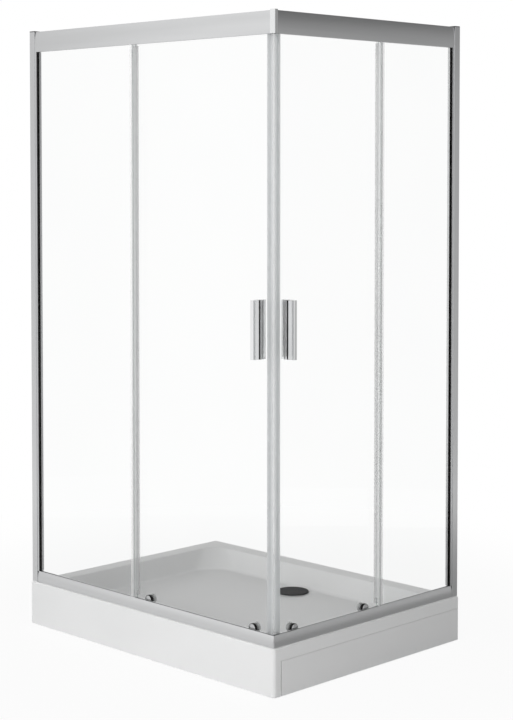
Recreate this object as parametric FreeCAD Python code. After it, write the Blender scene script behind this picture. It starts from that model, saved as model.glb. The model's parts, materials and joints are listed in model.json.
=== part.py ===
import FreeCAD, Part
import math
import os

# A corner shower enclosure: a low tray, a framed glass panel and a sliding glass door on each open side.
# Lengths are millimetres. The origin is the middle of the footprint on the floor, +X runs along the long
# side, +Z is up, and the two doors meet at the entry corner at +X, -Y.
# Each glazed side is drawn in its own frame: s runs along the side from the entry corner, o runs inwards from
# the tray's outer face, and z is the height above the floor.

# Overall sizes
LONG_SIDE = 1200.0
SHORT_SIDE = 900.0
RIM_HEIGHT = 155.0
FRAME_HEIGHT = 1935.0

# Shared fits
OVERRUN = 5.0
RUNNING_GAP = 0.3
SLIP_GAP = 0.05

# Tray
TRAY_WALL = 5.0
TRAY_EDGE_RADIUS = 5.0
TRAY_CORNER_RADIUS = 12.0
LEDGE_WIDTH = 62.0
BASIN_DEPTH = 62.0
BASIN_SLOPE_RUN = 60.0
BASIN_TOP_RADIUS = 70.0
BASIN_FLOOR_RADIUS = 120.0
BASIN_LIP_RADIUS = 10.0
BASIN_FOOT_RADIUS = 24.0
FASCIA_HEIGHT = 42.0
SKIRT_FLOOR_GAP = 4.0
SKIRT_RETURN = 31.0
PANEL_THICKNESS = 3.0
PANEL_SEAM = 0.8
PANEL_END_SEAM = 3.5
TONGUE_THICKNESS = 2.0
TONGUE_HEIGHT = 14.0

# Support frame and feet
TUBE_WIDTH = 20.0
TUBE_WALL = 2.0
TUBE_END_SETBACK = 170.0
FRONT_TUBE_SETBACK = 178.0
BACK_TUBE_DRAIN_SPACING = 130.0
CROSS_TUBE_LEG_SPACING = 145.0
LEG_END_INSET = 35.0
ROD_RADIUS = 6.0
ROD_ENTRY = 10.0
NUT_WIDTH = 19.0
NUT_HEIGHT = 10.0
FOOT_RADIUS = 25.0
FOOT_HEIGHT = 12.0
FOOT_SOCKET_DEPTH = 7.0

# Drain
DRAIN_SETBACK = 190.0
DRAIN_HOLE_RADIUS = 45.0
DRAIN_FLANGE_RADIUS = 54.0
DRAIN_FLANGE_THICKNESS = 2.0
DRAIN_NECK_RADIUS = 42.0
DRAIN_NECK_LENGTH = 20.0
DRAIN_WALL = 3.0
COVER_RADIUS = 57.5
COVER_THICKNESS = 4.0
COVER_EDGE_RADIUS = 1.8
COVER_STEM_LENGTH = 12.0
TRAP_RADIUS = 50.0
TRAP_RING_RADIUS = 56.0
TRAP_RING_HEIGHT = 8.0
TRAP_BOTTOM_Z = 20.0
OUTLET_RADIUS = 20.0
OUTLET_COLLAR = 3.0
SPIGOT_LENGTH = 50.0
OUTLET_WALL = 2.0
OUTLET_Z = 44.0
OUTLET_END_SETBACK = 20.0

# Glass
GLASS = 5.0
FIXED_GLASS_O = 10.5
DOOR_GLASS_O = 33.5

# Rails
RAIL_SETBACK = 6.0
RAIL_WALL = 2.0
CHAMBER_WIDTH = 14.0
GLASS_SLOT_PLAY = 0.5
BOTTOM_RAIL_HEIGHT = 38.0
BOTTOM_RAIL_DEPTH = 51.0
BOTTOM_RAIL_BASE = 3.0
BOTTOM_RAIL_BROW = 3.0
BOTTOM_RAIL_BULGE = 1.4
BOTTOM_RAIL_CORNER_RADIUS = 5.0
BOTTOM_SLOT_DEPTH = 15.0
BACK_LIP_HEIGHT = 10.0
TOP_RAIL_HEIGHT = 70.0
TOP_RAIL_DEPTH = 52.0
TOP_RAIL_PLATE = 3.0
TOP_RAIL_BROW = 2.5
TOP_RAIL_BULGE = 1.6
TOP_SLOT_DEPTH = 18.0
TOP_BACK_DROP = 50.0
SHELF_WIDTH = 14.0
RIB_O = 46.2
RIB_THICKNESS = 2.0
BOTTOM_RIB_HEIGHT = 26.0
TOP_RIB_HEIGHT = 9.0
CORNER_BLOCK_WIDTH = 22.0
CORNER_BLOCK_RADIUS = 7.0
CORNER_BLOCK_PROUD = 1.0
CORNER_BLOCK_RISE = 3.0
CORNER_LEG_LENGTH = 70.0
CORNER_LEG_HEIGHT = 14.0

# Wall profile, panel profile and gasket
WALL_PROFILE_WIDTH = 26.0
WALL_PROFILE_FRONT = 4.0
WALL_PROFILE_DEPTH = 26.0
WALL_PROFILE_WALL = 2.0
CAP_THICKNESS = 3.0
WALL_HOLE_RADIUS = 3.0
WALL_HOLE_END_INSET = 117.5
WALL_HOLE_INNER_SPACING = 600.0
PANEL_PROFILE_REACH = 8.0
PANEL_PROFILE_WALL = 2.0
GASKET_THICKNESS = 1.0
GASKET_NOSE = 3.5
GLASS_INSERTION = 20.0
FRAME_SCREW_RADIUS = 2.0
FRAME_SCREW_HEAD_RADIUS = 4.0
FRAME_SCREW_HEAD = 2.2
FRAME_SCREW_LENGTH = 7.0
FRAME_SCREW_EDGE = 9.0
FRAME_SCREW_INSET = 120.0

# Seals
SEAL_WALL = 1.5
SEAL_WEB = 2.0
FIXED_SEAL_WIDTH = 14.0
FIXED_SEAL_START = {"long": 658.0, "short": 503.0}
FIXED_FIN_END_GAP = 1.0
FIN_ROLLER_GAP = 9.0
DOOR_SEAL_WIDTH = 12.0
DOOR_FIN_END_GAP = 1.0
SEAL_END_GAP = 3.0
MAGNET_SEAL_WIDTH = 8.5
MAGNET_GAP = 0.3
MAGNET_CHAMFER = 3.6

# Doors
DOOR_LEAD = 52.0
DOOR_OVERLAP = 12.0
DOOR_OPEN_GAP = 2.5
DOOR_BOTTOM_GAP = 10.0
DOOR_TOP_GAP = 4.0

# Handles
HANDLE_S = 98.0
HANDLE_CENTRE_Z = 1121.0
HANDLE_LENGTH = 183.0
HANDLE_SCREW_SPACING = 150.0
HANDLE_OUTER_REACH = 18.7
HANDLE_INNER_REACH = 20.5
HANDLE_OUTER_TIP_RADIUS = 2.0
HANDLE_INNER_TIP_RADIUS = 5.0
HANDLE_FOOT_HALF_WIDTH = 13.0
HANDLE_FOOT_THICKNESS = 2.0
HANDLE_BAR_HALF_WIDTH = 6.5
HANDLE_BASE = 5.5
HANDLE_INLAY = 6.3
HANDLE_INLAY_INSET = 0.7
HANDLE_INNER_PAD = 1.5
HANDLE_STUD_RADIUS = 2.5
HANDLE_STUD_ENTRY = 12.0

# Rollers
ROLLER_INSET = 67.0
WHEEL_FLANGE_RADIUS = 13.5
WHEEL_GROOVE_RADIUS = 10.8
WHEEL_WIDTH = 7.0
WHEEL_GROOVE_WIDTH = 3.2
WHEEL_GROOVE_MOUTH = 5.0
WHEEL_AXLE_RADIUS = 3.0
AXLE_HEAD_RADIUS = 4.5
AXLE_HEAD = 1.5
MOUNT_PLATE = 3.0
MOUNT_RADIUS = 12.0
MOUNT_BOLT_RADIUS = 4.0
MOUNT_BOLT_ENTRY = 3.0
GLASS_HOLE_RADIUS = 6.0
COLLAR_RADIUS = 15.0
COLLAR_THICKNESS = 8.0
CAP_RADIUS = 14.0
CAP_RIM = 1.5
CAP_DOME = 3.0
CAP_DOME_STEPS = 3
GUIDE_HALF_WIDTH = 14.0
GUIDE_WALL = 2.6
GUIDE_LIP = 1.8
GUIDE_LIP_THICKNESS = 1.2
GUIDE_FLOOR_GAP = 3.0
CARRIAGE_PLATE = 1.7
CARRIAGE_STEM_HALF_WIDTH = 6.0
CARRIAGE_TAB = 2.0
CARRIAGE_TAB_REACH = 9.0

# Door stops
STOP_LENGTH = 12.0
STOP_WIDTH = 9.0
STOP_HEIGHT = 26.0
STOP_GAP = 0.6

# Places on the plan, worked out from the sizes above
DRAIN_Y = SHORT_SIDE / 2 - DRAIN_SETBACK
OUTLET_END_Y = SHORT_SIDE / 2 - OUTLET_END_SETBACK
TUBE_LENGTH = LONG_SIDE - 2 * TUBE_END_SETBACK
LEG_X = TUBE_LENGTH / 2 - LEG_END_INSET
CROSS_TUBE_X = LEG_X - CROSS_TUBE_LEG_SPACING
FRONT_TUBE_Y = FRONT_TUBE_SETBACK - SHORT_SIDE / 2
BACK_TUBE_Y = DRAIN_Y - BACK_TUBE_DRAIN_SPACING

# Levels worked out from the sizes above
TOP_Z = RIM_HEIGHT + FRAME_HEIGHT
BASIN_FLOOR_Z = RIM_HEIGHT - BASIN_DEPTH
BASIN_UNDER_Z = BASIN_FLOOR_Z - TRAY_WALL
FASCIA_BOTTOM_Z = RIM_HEIGHT - FASCIA_HEIGHT
BOTTOM_RAIL_TOP_Z = RIM_HEIGHT + BOTTOM_RAIL_HEIGHT
TOP_RAIL_BOTTOM_Z = TOP_Z - TOP_RAIL_HEIGHT
TUBE_BOTTOM_Z = BASIN_UNDER_Z - TUBE_WIDTH
SHELF_Z = TOP_Z - TOP_BACK_DROP + RAIL_WALL
TOP_AXLE_Z = SHELF_Z + TOP_RIB_HEIGHT + WHEEL_GROOVE_RADIUS + RUNNING_GAP
BOTTOM_AXLE_Z = RIM_HEIGHT + BOTTOM_RIB_HEIGHT + WHEEL_GROOVE_RADIUS + RUNNING_GAP
DOOR_BOTTOM_Z = RIM_HEIGHT + DOOR_BOTTOM_GAP
DOOR_TOP_Z = TOP_Z - TOP_RAIL_PLATE - DOOR_TOP_GAP

# Places across a side, worked out from the sizes above
FIXED_GLASS_BACK_O = FIXED_GLASS_O + GLASS
DOOR_GLASS_BACK_O = DOOR_GLASS_O + GLASS
CHAMBER_BACK_O = RAIL_SETBACK + CHAMBER_WIDTH
SLOT_FRONT_O = FIXED_GLASS_O - GLASS_SLOT_PLAY
SLOT_BACK_O = FIXED_GLASS_BACK_O + GLASS_SLOT_PLAY
WHEEL_O = RIB_O + RIB_THICKNESS / 2 - WHEEL_WIDTH / 2
WHEEL_BACK_O = WHEEL_O + WHEEL_WIDTH
MOUNT_BACK_O = DOOR_GLASS_BACK_O + MOUNT_PLATE
COLLAR_FRONT_O = DOOR_GLASS_O - COLLAR_THICKNESS
HANDLE_BASE_O = DOOR_GLASS_O - HANDLE_BASE
OUTER_GRIP_O = HANDLE_BASE_O - HANDLE_INLAY

SIDE_LENGTH = {"long": LONG_SIDE, "short": SHORT_SIDE}
ORIGIN = FreeCAD.Vector(0, 0, 0)
UP = FreeCAD.Vector(0, 0, 1)
ALONG = FreeCAD.Vector(1, 0, 0)
INWARD = FreeCAD.Vector(0, 1, 0)


# Basic solids

def vector(x, y, z):
    return FreeCAD.Vector(x, y, z)


def box(x0, x1, y0, y1, z0, z1):
    return Part.makeBox(x1 - x0, y1 - y0, z1 - z0, vector(x0, y0, z0))


def upright(radius, x, y, z0, z1):
    """A cylinder standing along Z."""
    return Part.makeCylinder(radius, z1 - z0, vector(x, y, z0), UP)


def inward(radius, s, z, o0, o1):
    """A cylinder lying along o, square to the glass."""
    return Part.makeCylinder(radius, o1 - o0, vector(s, o0, z), INWARD)


def fused(shapes):
    return shapes[0].multiFuse(shapes[1:]).removeSplitter()


def group(shapes):
    return Part.makeCompound(shapes)


def wire(steps):
    """A closed wire through points. A step of two points is an arc: a point on the way, then its end."""
    edges = []
    last = steps[0]
    for step in steps[1:] + steps[:1]:
        if isinstance(step, tuple):
            edges.append(Part.Arc(last, step[0], step[1]).toShape())
            last = step[1]
        else:
            edges.append(Part.LineSegment(last, step).toShape())
            last = step
    return Part.Wire(edges)


def standing(steps, z0, z1):
    """An outline in s and o, extruded upwards."""
    def at(point):
        return vector(point[0], point[1], z0)
    points = [tuple(map(at, step)) if isinstance(step[0], tuple) else at(step) for step in steps]
    return Part.Face(wire(points)).extrude(vector(0, 0, z1 - z0))


def running(steps, s0, s1):
    """An outline in o and z, extruded along the side."""
    def at(point):
        return vector(s0, point[0], point[1])
    points = [tuple(map(at, step)) if isinstance(step[0], tuple) else at(step) for step in steps]
    return Part.Face(wire(points)).extrude(vector(s1 - s0, 0, 0))


def rounded_rectangle(half_x, half_y, radius, z):
    """A wire centred on the origin, with round corners."""
    middle = radius * (1 - math.sqrt(2) / 2)
    steps = [vector(half_x - radius, -half_y, z)]
    for sign_x, sign_y in ((1, -1), (1, 1), (-1, 1), (-1, -1)):
        before = vector(sign_x * (half_x - radius), sign_y * half_y, z)
        after = vector(sign_x * half_x, sign_y * (half_y - radius), z)
        if sign_x * sign_y > 0:
            before, after = after, before
        through = vector(sign_x * (half_x - middle), sign_y * (half_y - middle), z)
        if before != steps[0]:
            steps.append(before)
        steps.append((through, after))
    return wire(steps)


def place(shape, side):
    """Moves a shape from a side's own frame to the enclosure's frame."""
    if side == "long":
        moved = shape.mirror(ORIGIN, ALONG)
    else:
        moved = shape.copy()
        moved.rotate(ORIGIN, UP, 90)
    moved.translate(vector(LONG_SIDE / 2, -SHORT_SIDE / 2, 0))
    return moved


def mitred(shape):
    """Keeps the part of a rail on its own side of the corner's diagonal."""
    reach = LONG_SIDE
    triangle = standing([(0, 0), (0, reach), (reach, reach)], -OVERRUN, TOP_Z + OVERRUN)
    return shape.cut(triangle)


# Tray

def basin(inset, top_z, floor_z):
    """The hollow of the basin, or with an inset below zero the outside of its shell."""
    half_x = LONG_SIDE / 2 - LEDGE_WIDTH - inset
    half_y = SHORT_SIDE / 2 - LEDGE_WIDTH - inset
    top = rounded_rectangle(half_x, half_y, BASIN_TOP_RADIUS - inset, top_z)
    floor_x = half_x - BASIN_SLOPE_RUN
    floor_y = half_y - BASIN_SLOPE_RUN
    floor = rounded_rectangle(floor_x, floor_y, BASIN_FLOOR_RADIUS - inset, floor_z)
    hollow = Part.makeLoft([floor, top], True, True)
    foot = [edge for edge in hollow.Edges if edge.BoundBox.ZMax < floor_z + SLIP_GAP]
    return hollow.makeFillet(BASIN_FOOT_RADIUS - inset, foot)


def tray_shell():
    half_x = LONG_SIDE / 2
    half_y = SHORT_SIDE / 2
    outer = box(-half_x, half_x, -half_y, half_y, SKIRT_FLOOR_GAP, RIM_HEIGHT)
    corner = [
        edge for edge in outer.Edges
        if edge.BoundBox.XMin > half_x - SLIP_GAP and edge.BoundBox.YMax < SLIP_GAP - half_y
    ]
    outer = outer.makeFillet(TRAY_CORNER_RADIUS, corner)
    rim = [edge for edge in outer.Edges if edge.BoundBox.ZMin > RIM_HEIGHT - SLIP_GAP]
    outer = outer.makeFillet(TRAY_EDGE_RADIUS, rim)
    inner_x = half_x - TRAY_WALL
    inner_y = half_y - TRAY_WALL
    under = box(-inner_x, inner_x, -inner_y, inner_y, -OVERRUN, RIM_HEIGHT - TRAY_WALL)
    skirt_edge_y = SKIRT_RETURN - half_y
    past_x = half_x + OVERRUN
    open_sides = box(-past_x, past_x, skirt_edge_y, half_y + OVERRUN, -OVERRUN, FASCIA_BOTTOM_Z)
    shell = outer.cut(under).cut(open_sides)
    tub = basin(-TRAY_WALL, RIM_HEIGHT - TRAY_WALL, BASIN_UNDER_Z)
    tongue_x = half_x - PANEL_THICKNESS - RUNNING_GAP
    tongue_top_z = FASCIA_BOTTOM_Z + TRAY_WALL
    tongue = box(
        tongue_x - TONGUE_THICKNESS, tongue_x, skirt_edge_y - TRAY_WALL, half_y - TRAY_WALL,
        FASCIA_BOTTOM_Z - TONGUE_HEIGHT, tongue_top_z,
    )
    shell = fused([shell, tub, tongue]).cut(basin(0, RIM_HEIGHT, BASIN_FLOOR_Z))
    lip = [
        edge for edge in shell.Edges
        if edge.BoundBox.ZMin > RIM_HEIGHT - SLIP_GAP
        and edge.BoundBox.XMax < half_x - LEDGE_WIDTH / 2
        and edge.BoundBox.XMin > LEDGE_WIDTH / 2 - half_x
        and edge.BoundBox.YMax < half_y - LEDGE_WIDTH / 2
        and edge.BoundBox.YMin > LEDGE_WIDTH / 2 - half_y
    ]
    shell = shell.makeFillet(BASIN_LIP_RADIUS, lip)
    return shell.cut(upright(DRAIN_HOLE_RADIUS, 0, DRAIN_Y, TRAP_BOTTOM_Z, RIM_HEIGHT))


def access_panel():
    front_y = SKIRT_RETURN - SHORT_SIDE / 2 + PANEL_END_SEAM
    return box(
        LONG_SIDE / 2 - PANEL_THICKNESS, LONG_SIDE / 2, front_y, SHORT_SIDE / 2,
        SKIRT_FLOOR_GAP, FASCIA_BOTTOM_Z - PANEL_SEAM,
    )


# Support frame and feet

def leg_places():
    return [(x, y) for y in (FRONT_TUBE_Y, BACK_TUBE_Y) for x in (-LEG_X, 0, LEG_X)]


def tube(x0, x1, y0, y1, along_x):
    """A square tube, open at both ends."""
    end_x = OVERRUN if along_x else -TUBE_WALL
    end_y = -TUBE_WALL if along_x else OVERRUN
    outside = box(x0, x1, y0, y1, TUBE_BOTTOM_Z, BASIN_UNDER_Z)
    hollow_top_z = BASIN_UNDER_Z - TUBE_WALL
    hollow = box(x0 - end_x, x1 + end_x, y0 - end_y, y1 + end_y, TUBE_BOTTOM_Z + TUBE_WALL, hollow_top_z)
    return outside.cut(hollow)


def long_tubes():
    tubes = []
    for y in (FRONT_TUBE_Y, BACK_TUBE_Y):
        bar = tube(-TUBE_LENGTH / 2, TUBE_LENGTH / 2, y - TUBE_WIDTH / 2, y + TUBE_WIDTH / 2, True)
        for x in (-LEG_X, 0, LEG_X):
            middle_z = TUBE_BOTTOM_Z + TUBE_WIDTH / 2
            bar = bar.cut(upright(ROD_RADIUS + SLIP_GAP, x, y, TUBE_BOTTOM_Z - OVERRUN, middle_z))
        tubes.append(bar)
    return group(tubes)


def cross_tubes():
    y0 = FRONT_TUBE_Y + TUBE_WIDTH / 2
    y1 = BACK_TUBE_Y - TUBE_WIDTH / 2
    half = TUBE_WIDTH / 2
    return group([tube(x - half, x + half, y0, y1, False) for x in (-CROSS_TUBE_X, CROSS_TUBE_X)])


def leg_rods():
    bottom_z = FOOT_HEIGHT - FOOT_SOCKET_DEPTH
    return group([upright(ROD_RADIUS, x, y, bottom_z, TUBE_BOTTOM_Z + ROD_ENTRY) for x, y in leg_places()])


def leg_nuts():
    nuts = []
    for x, y in leg_places():
        corner_radius = NUT_WIDTH / math.sqrt(3)
        corners = []
        for i in range(6):
            turn = math.radians(60 * i)
            corners.append((x + corner_radius * math.cos(turn), y + corner_radius * math.sin(turn)))
        nut = standing(corners, TUBE_BOTTOM_Z - NUT_HEIGHT, TUBE_BOTTOM_Z)
        nuts.append(nut.cut(upright(ROD_RADIUS + SLIP_GAP, x, y, 0, TUBE_BOTTOM_Z + OVERRUN)))
    return group(nuts)


def leg_feet():
    feet = []
    socket_z = FOOT_HEIGHT - FOOT_SOCKET_DEPTH
    for x, y in leg_places():
        foot = Part.makeCone(FOOT_RADIUS, FOOT_RADIUS - FOOT_HEIGHT / 2, FOOT_HEIGHT, vector(x, y, 0), UP)
        feet.append(foot.cut(upright(ROD_RADIUS + SLIP_GAP, x, y, socket_z, FOOT_HEIGHT + OVERRUN)))
    return group(feet)


# Drain

def drain_flange():
    top_z = BASIN_FLOOR_Z + DRAIN_FLANGE_THICKNESS
    disc = upright(DRAIN_FLANGE_RADIUS, 0, DRAIN_Y, BASIN_FLOOR_Z, top_z)
    neck_z = BASIN_FLOOR_Z - DRAIN_NECK_LENGTH
    neck = upright(DRAIN_NECK_RADIUS, 0, DRAIN_Y, neck_z, top_z)
    bore = upright(DRAIN_NECK_RADIUS - DRAIN_WALL, 0, DRAIN_Y, neck_z - OVERRUN, top_z + OVERRUN)
    return fused([disc, neck]).cut(bore)


def drain_cover():
    bottom_z = BASIN_FLOOR_Z + DRAIN_FLANGE_THICKNESS
    plate = upright(COVER_RADIUS, 0, DRAIN_Y, bottom_z, bottom_z + COVER_THICKNESS)
    rim = [edge for edge in plate.Edges if edge.BoundBox.ZMin > bottom_z + COVER_THICKNESS / 2]
    plate = plate.makeFillet(COVER_EDGE_RADIUS, rim)
    stem_radius = DRAIN_NECK_RADIUS - DRAIN_WALL - RUNNING_GAP
    stem = upright(stem_radius, 0, DRAIN_Y, bottom_z - COVER_STEM_LENGTH, bottom_z)
    bore = upright(stem_radius - DRAIN_WALL, 0, DRAIN_Y, bottom_z - COVER_STEM_LENGTH - OVERRUN, bottom_z)
    return fused([plate, stem.cut(bore)])


def drain_trap():
    top_z = BASIN_UNDER_Z
    ring = upright(TRAP_RING_RADIUS, 0, DRAIN_Y, top_z - TRAP_RING_HEIGHT, top_z)
    body = upright(TRAP_RADIUS, 0, DRAIN_Y, TRAP_BOTTOM_Z, top_z)
    length = OUTLET_END_Y - DRAIN_Y
    start = vector(0, DRAIN_Y, OUTLET_Z)
    spigot = Part.makeCylinder(OUTLET_RADIUS, length, start, INWARD)
    collar = Part.makeCylinder(OUTLET_RADIUS + OUTLET_COLLAR, length - SPIGOT_LENGTH, start, INWARD)
    floor_z = TRAP_BOTTOM_Z + DRAIN_WALL
    water = upright(TRAP_RADIUS - DRAIN_WALL, 0, DRAIN_Y, floor_z, top_z - TRAP_RING_HEIGHT)
    mouth = upright(DRAIN_NECK_RADIUS + SLIP_GAP, 0, DRAIN_Y, floor_z, top_z + OVERRUN)
    bore_radius = OUTLET_RADIUS - OUTLET_WALL
    bore = Part.makeCylinder(bore_radius, length + OVERRUN, start, INWARD)
    return fused([ring, body, spigot, collar]).cut(fused([water, mouth, bore]))


# Rails

def rail_end(side):
    return SIDE_LENGTH[side] - WALL_PROFILE_WIDTH


def bottom_rail(side):
    front = RAIL_SETBACK
    top_z = BOTTOM_RAIL_TOP_Z
    end = rail_end(side)
    brow = front + BOTTOM_RAIL_BROW
    bulge = (front + BOTTOM_RAIL_BROW / 2 - BOTTOM_RAIL_BULGE, RIM_HEIGHT + BOTTOM_RAIL_HEIGHT / 2)
    face = [(front, RIM_HEIGHT), (bulge, (brow, top_z))]
    outside = running(face + [(CHAMBER_BACK_O, top_z), (CHAMBER_BACK_O, RIM_HEIGHT)], 0, end)
    slot_bottom_z = top_z - BOTTOM_SLOT_DEPTH
    slot = box(-OVERRUN, end + OVERRUN, SLOT_FRONT_O, SLOT_BACK_O, slot_bottom_z, top_z + OVERRUN)
    hollow = box(
        -OVERRUN, end + OVERRUN, front + RAIL_WALL, CHAMBER_BACK_O - RAIL_WALL,
        RIM_HEIGHT + BOTTOM_RAIL_BASE, slot_bottom_z - RAIL_WALL,
    )
    back_o = front + BOTTOM_RAIL_DEPTH
    base = box(0, end, front, back_o, RIM_HEIGHT, RIM_HEIGHT + BOTTOM_RAIL_BASE)
    lip = box(0, end, back_o - RAIL_WALL, back_o, RIM_HEIGHT, RIM_HEIGHT + BACK_LIP_HEIGHT)
    rib = box(0, end, RIB_O, RIB_O + RIB_THICKNESS, RIM_HEIGHT, RIM_HEIGHT + BOTTOM_RIB_HEIGHT)
    round_middle = front + BOTTOM_RAIL_CORNER_RADIUS
    low = RIM_HEIGHT - OVERRUN
    high = top_z + OVERRUN
    sharp = box(0, round_middle, 0, round_middle, low, high)
    kept = upright(BOTTOM_RAIL_CORNER_RADIUS, round_middle, round_middle, low, high)
    return mitred(fused([outside.cut(slot).cut(hollow), base, lip, rib])).cut(sharp.cut(kept))


def bottom_corner_block():
    """An angle inside the mitred bottom rails that ties them together."""
    front = RAIL_SETBACK + RAIL_WALL + SLIP_GAP
    back = CHAMBER_BACK_O - RAIL_WALL - SLIP_GAP
    bottom_z = RIM_HEIGHT + BOTTOM_RAIL_BASE
    leg = [(front, front), (CORNER_LEG_LENGTH, front), (CORNER_LEG_LENGTH, back), (back, back)]
    other = [(back, CORNER_LEG_LENGTH), (front, CORNER_LEG_LENGTH)]
    return standing(leg + other, bottom_z, bottom_z + CORNER_LEG_HEIGHT)


def top_rail(side):
    front = RAIL_SETBACK
    end = rail_end(side)
    bottom_z = TOP_RAIL_BOTTOM_Z
    brow = front + TOP_RAIL_BROW
    bulge = (front + TOP_RAIL_BROW / 2 - TOP_RAIL_BULGE, TOP_Z - TOP_RAIL_HEIGHT / 2)
    face = [(front, bottom_z), (bulge, (brow, TOP_Z))]
    skin = running(face + [(brow + RAIL_WALL, TOP_Z), (front + RAIL_WALL, bottom_z)], 0, end)
    slot_top_z = bottom_z + TOP_SLOT_DEPTH
    glass_seat = box(0, end, front + RAIL_WALL / 2, SLOT_BACK_O + RAIL_WALL, bottom_z, slot_top_z + RAIL_WALL)
    slot = box(-OVERRUN, end + OVERRUN, SLOT_FRONT_O, SLOT_BACK_O, bottom_z - OVERRUN, slot_top_z)
    back_o = front + TOP_RAIL_DEPTH
    plate = box(0, end, brow, back_o, TOP_Z - TOP_RAIL_PLATE, TOP_Z)
    shelf_bottom_z = SHELF_Z - RAIL_WALL
    back = box(0, end, back_o - RAIL_WALL, back_o, shelf_bottom_z, TOP_Z)
    shelf = box(0, end, back_o - SHELF_WIDTH, back_o, shelf_bottom_z, SHELF_Z)
    rib = box(0, end, RIB_O, RIB_O + RIB_THICKNESS, shelf_bottom_z, SHELF_Z + TOP_RIB_HEIGHT)
    rail = mitred(fused([skin, glass_seat, plate, back, shelf, rib]).cut(slot))
    corner = box(-OVERRUN, CORNER_BLOCK_WIDTH, -OVERRUN, CORNER_BLOCK_WIDTH, 0, TOP_Z + OVERRUN)
    return rail.cut(corner)


def top_corner_block():
    """The round corner piece between the ends of the top rails, open below."""
    def column(front, radius, z0, z1):
        far = CORNER_BLOCK_WIDTH
        start = front + radius
        middle = front + radius * (1 - math.sqrt(2) / 2)
        round_edge = [(start, front), ((middle, middle), (front, start))]
        return standing([(far, front)] + round_edge + [(front, far), (far, far)], z0, z1)
    front = RAIL_SETBACK - CORNER_BLOCK_PROUD
    outside = column(front, CORNER_BLOCK_RADIUS, TOP_RAIL_BOTTOM_Z, TOP_Z + CORNER_BLOCK_RISE)
    inner_front = front + RAIL_WALL
    far = CORNER_BLOCK_WIDTH - RAIL_WALL
    radius = CORNER_BLOCK_RADIUS - RAIL_WALL
    inside = column(inner_front, radius, TOP_RAIL_BOTTOM_Z - OVERRUN, TOP_Z - TOP_RAIL_PLATE)
    room = box(0, far, 0, far, 0, TOP_Z)
    return outside.cut(inside.common(room))


# Wall profiles, panel profiles and gaskets

def wall_hole_levels():
    middle = RIM_HEIGHT + FRAME_HEIGHT / 2
    spacings = (FRAME_HEIGHT - 2 * WALL_HOLE_END_INSET, WALL_HOLE_INNER_SPACING)
    return [middle + sign * spacing / 2 for spacing in spacings for sign in (-1, 1)]


def wall_profile(side):
    end = SIDE_LENGTH[side]
    start = end - WALL_PROFILE_WIDTH
    front = WALL_PROFILE_FRONT
    back = front + WALL_PROFILE_DEPTH
    wall = WALL_PROFILE_WALL
    outside = box(start, end, front, back, RIM_HEIGHT, TOP_Z)
    low = RIM_HEIGHT - OVERRUN
    high = TOP_Z + OVERRUN
    profile = outside.cut(box(start - OVERRUN, end - wall, front + wall, back - wall, low, high))
    middle_o = (front + back) / 2
    for z in wall_hole_levels():
        hole = vector(end - wall - OVERRUN, middle_o, z)
        profile = profile.cut(Part.makeCylinder(WALL_HOLE_RADIUS, wall + 2 * OVERRUN, hole, ALONG))
    return profile.cut(frame_screw_holes(side, back - wall, back))


def profile_cap(side):
    end = SIDE_LENGTH[side]
    back = WALL_PROFILE_FRONT + WALL_PROFILE_DEPTH
    return box(end - WALL_PROFILE_WIDTH, end, WALL_PROFILE_FRONT, back, TOP_Z, TOP_Z + CAP_THICKNESS)


def panel_front_o():
    return WALL_PROFILE_FRONT + WALL_PROFILE_WALL + SLIP_GAP


def panel_start(side):
    return SIDE_LENGTH[side] - WALL_PROFILE_WIDTH - PANEL_PROFILE_REACH


def glass_edge(side):
    return panel_start(side) + GLASS_INSERTION


def frame_screw_s(side):
    return SIDE_LENGTH[side] - WALL_PROFILE_WIDTH + FRAME_SCREW_EDGE


def frame_screw_levels():
    low = BOTTOM_RAIL_TOP_Z + FRAME_SCREW_INSET
    high = TOP_RAIL_BOTTOM_Z - FRAME_SCREW_INSET
    return [low, (low + high) / 2, high]


def frame_screw_holes(side, front, back):
    s = frame_screw_s(side)
    radius = FRAME_SCREW_RADIUS + SLIP_GAP
    return group([inward(radius, s, z, front, back + OVERRUN) for z in frame_screw_levels()])


def panel_profile(side):
    start = panel_start(side)
    front = panel_front_o()
    back = WALL_PROFILE_FRONT + WALL_PROFILE_DEPTH - WALL_PROFILE_WALL - SLIP_GAP
    wall = PANEL_PROFILE_WALL
    seat = glass_edge(side) + GASKET_THICKNESS
    bottom_z = BOTTOM_RAIL_TOP_Z
    top_z = TOP_RAIL_BOTTOM_Z
    outside = box(start, seat + wall, front, back, bottom_z, top_z)
    pocket_front = FIXED_GLASS_O - GASKET_THICKNESS
    pocket_back = FIXED_GLASS_BACK_O + GASKET_THICKNESS
    low = bottom_z - OVERRUN
    high = top_z + OVERRUN
    pocket = box(start - OVERRUN, seat, pocket_front, pocket_back, low, high)
    chamber = box(start + wall, seat, pocket_back + wall, back - wall, low, high)
    profile = outside.cut(pocket).cut(chamber)
    return profile.cut(frame_screw_holes(side, back - wall, back))


def gasket(side):
    start = panel_start(side) - GASKET_NOSE
    seat = glass_edge(side) + GASKET_THICKNESS
    front = FIXED_GLASS_O - GASKET_THICKNESS
    back = FIXED_GLASS_BACK_O + GASKET_THICKNESS
    outside = box(start, seat, front, back, BOTTOM_RAIL_TOP_Z, TOP_RAIL_BOTTOM_Z)
    low = BOTTOM_RAIL_TOP_Z - OVERRUN
    high = TOP_RAIL_BOTTOM_Z + OVERRUN
    return outside.cut(box(start - OVERRUN, glass_edge(side), FIXED_GLASS_O, FIXED_GLASS_BACK_O, low, high))


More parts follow.
